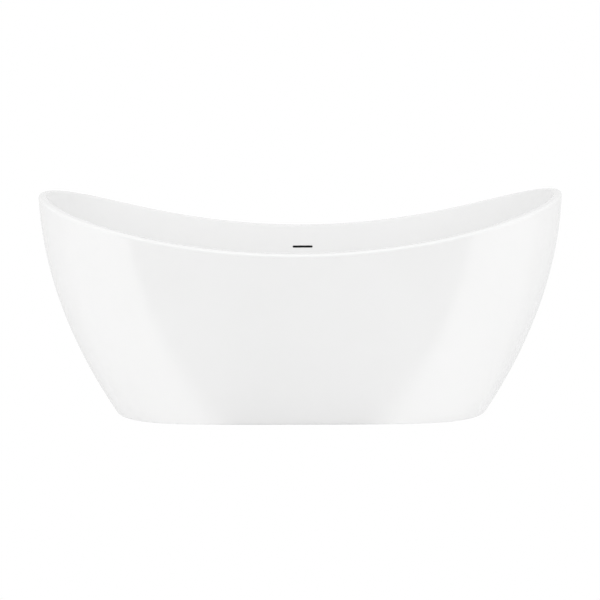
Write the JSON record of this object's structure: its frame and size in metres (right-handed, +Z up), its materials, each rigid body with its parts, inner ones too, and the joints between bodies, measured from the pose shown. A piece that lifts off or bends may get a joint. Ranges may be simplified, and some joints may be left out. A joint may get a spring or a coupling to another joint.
{
  "type": "freestanding bathtub",
  "caption": "Freestanding double-slipper bathtub: double-walled acrylic body, slot overflow, pop-up floor waste, steel base frame and levelling feet.",
  "frame": {"origin": "on the floor, under the middle of the tub, at the level of the feet's soles", "axes": "+X along the tub's length, +Y towards the wall that has the overflow slot, +Z up"},
  "size_m": [1.7, 0.8, 0.725],
  "materials": {
    "basin_acrylic": "polished white cast acrylic",
    "skirt_acrylic": "polished white cast acrylic",
    "bond_resin": "cured adhesive and glass fibre",
    "spacer_foam": "cut rigid foam",
    "board_ply": "raw plywood",
    "frame_steel": "galvanised",
    "zinc_fastener": "bright zinc plated",
    "foot_rubber": "matt moulded",
    "foot_plastic": "moulded nylon",
    "chrome_trim": "polished chrome plate",
    "brass_fitting": "turned",
    "black_seal": "matt moulded",
    "white_plastic": "moulded polypropylene",
    "black_plastic": "moulded ABS",
    "grey_pipe": "extruded PVC"
  },
  "bodies": {
    "tub": {"inner_shell": "basin_acrylic", "outer_skirt": "skirt_acrylic", "rim_bond": "bond_resin", "wall_spacers": "spacer_foam", "base_board": "board_ply", "rail_front": "frame_steel", "rail_rear": "frame_steel", "cross_member_left": "frame_steel", "cross_member_right": "frame_steel", "frame_bolts": "zinc_fastener", "frame_rivet_nuts": "zinc_fastener", "board_screws": "zinc_fastener", "skirt_brackets": "frame_steel", "bracket_screws": "zinc_fastener", "foot_load_nuts": "zinc_fastener", "foot_lock_nuts": "zinc_fastener", "drain_flange": "chrome_trim", "drain_top_seal": "black_seal", "drain_lower_seal": "black_seal", "drain_slip_washer": "white_plastic", "drain_nut": "brass_fitting", "stopper_cartridge": "brass_fitting", "waste_tee": "white_plastic", "tail_seal": "black_seal", "tail_nut": "white_plastic", "tailpiece": "chrome_trim", "tee_side_nut": "white_plastic", "tee_side_seal": "black_seal", "overflow_box": "black_plastic", "overflow_gasket": "black_seal", "overflow_down_pipe": "grey_pipe", "overflow_elbow": "black_seal", "overflow_cross_pipe": "grey_pipe"},
    "stopper": {"stopper_cap": "chrome_trim", "stopper_seal": "black_seal", "stopper_stem": "brass_fitting"},
    "foot_1": {"foot_sole_1": "foot_rubber", "foot_cup_1": "foot_plastic"},
    "foot_1_screw": {"foot_stud_1": "zinc_fastener"},
    "foot_2": {"foot_sole_2": "foot_rubber", "foot_cup_2": "foot_plastic"},
    "foot_2_screw": {"foot_stud_2": "zinc_fastener"},
    "foot_3": {"foot_sole_3": "foot_rubber", "foot_cup_3": "foot_plastic"},
    "foot_3_screw": {"foot_stud_3": "zinc_fastener"},
    "foot_4": {"foot_sole_4": "foot_rubber", "foot_cup_4": "foot_plastic"},
    "foot_4_screw": {"foot_stud_4": "zinc_fastener"}
  },
  "joints": [
    {"name": "stopper_lift", "type": "slide", "parent": "tub", "child": "stopper", "axis": [0, 0, 1], "range_m": [0, 0.01]},
    {"name": "foot_1_height", "type": "slide", "parent": "tub", "child": "foot_1", "axis": [0, 0, 1], "range_m": [-0.02, 0]},
    {"name": "foot_1_turn", "type": "hinge", "parent": "foot_1", "child": "foot_1_screw", "pos_m": [0.33, 0.19, 0.05], "axis": [0, 0, 1], "range_deg": [-4115, 0]},
    {"name": "foot_2_height", "type": "slide", "parent": "tub", "child": "foot_2", "axis": [0, 0, 1], "range_m": [-0.02, 0]},
    {"name": "foot_2_turn", "type": "hinge", "parent": "foot_2", "child": "foot_2_screw", "pos_m": [-0.33, 0.19, 0.05], "axis": [0, 0, 1], "range_deg": [-4115, 0]},
    {"name": "foot_3_height", "type": "slide", "parent": "tub", "child": "foot_3", "axis": [0, 0, 1], "range_m": [-0.02, 0]},
    {"name": "foot_3_turn", "type": "hinge", "parent": "foot_3", "child": "foot_3_screw", "pos_m": [-0.33, -0.19, 0.05], "axis": [0, 0, 1], "range_deg": [-4115, 0]},
    {"name": "foot_4_height", "type": "slide", "parent": "tub", "child": "foot_4", "axis": [0, 0, 1], "range_m": [-0.02, 0]},
    {"name": "foot_4_turn", "type": "hinge", "parent": "foot_4", "child": "foot_4_screw", "pos_m": [0.33, -0.19, 0.05], "axis": [0, 0, 1], "range_deg": [-4115, 0]}
  ],
  "couplings": [
    {"joint": "foot_1_turn", "follows": "foot_1_height", "rad_per_m": 3590.4},
    {"joint": "foot_2_turn", "follows": "foot_2_height", "rad_per_m": 3590.4},
    {"joint": "foot_3_turn", "follows": "foot_3_height", "rad_per_m": 3590.4},
    {"joint": "foot_4_turn", "follows": "foot_4_height", "rad_per_m": 3590.4}
  ]
}
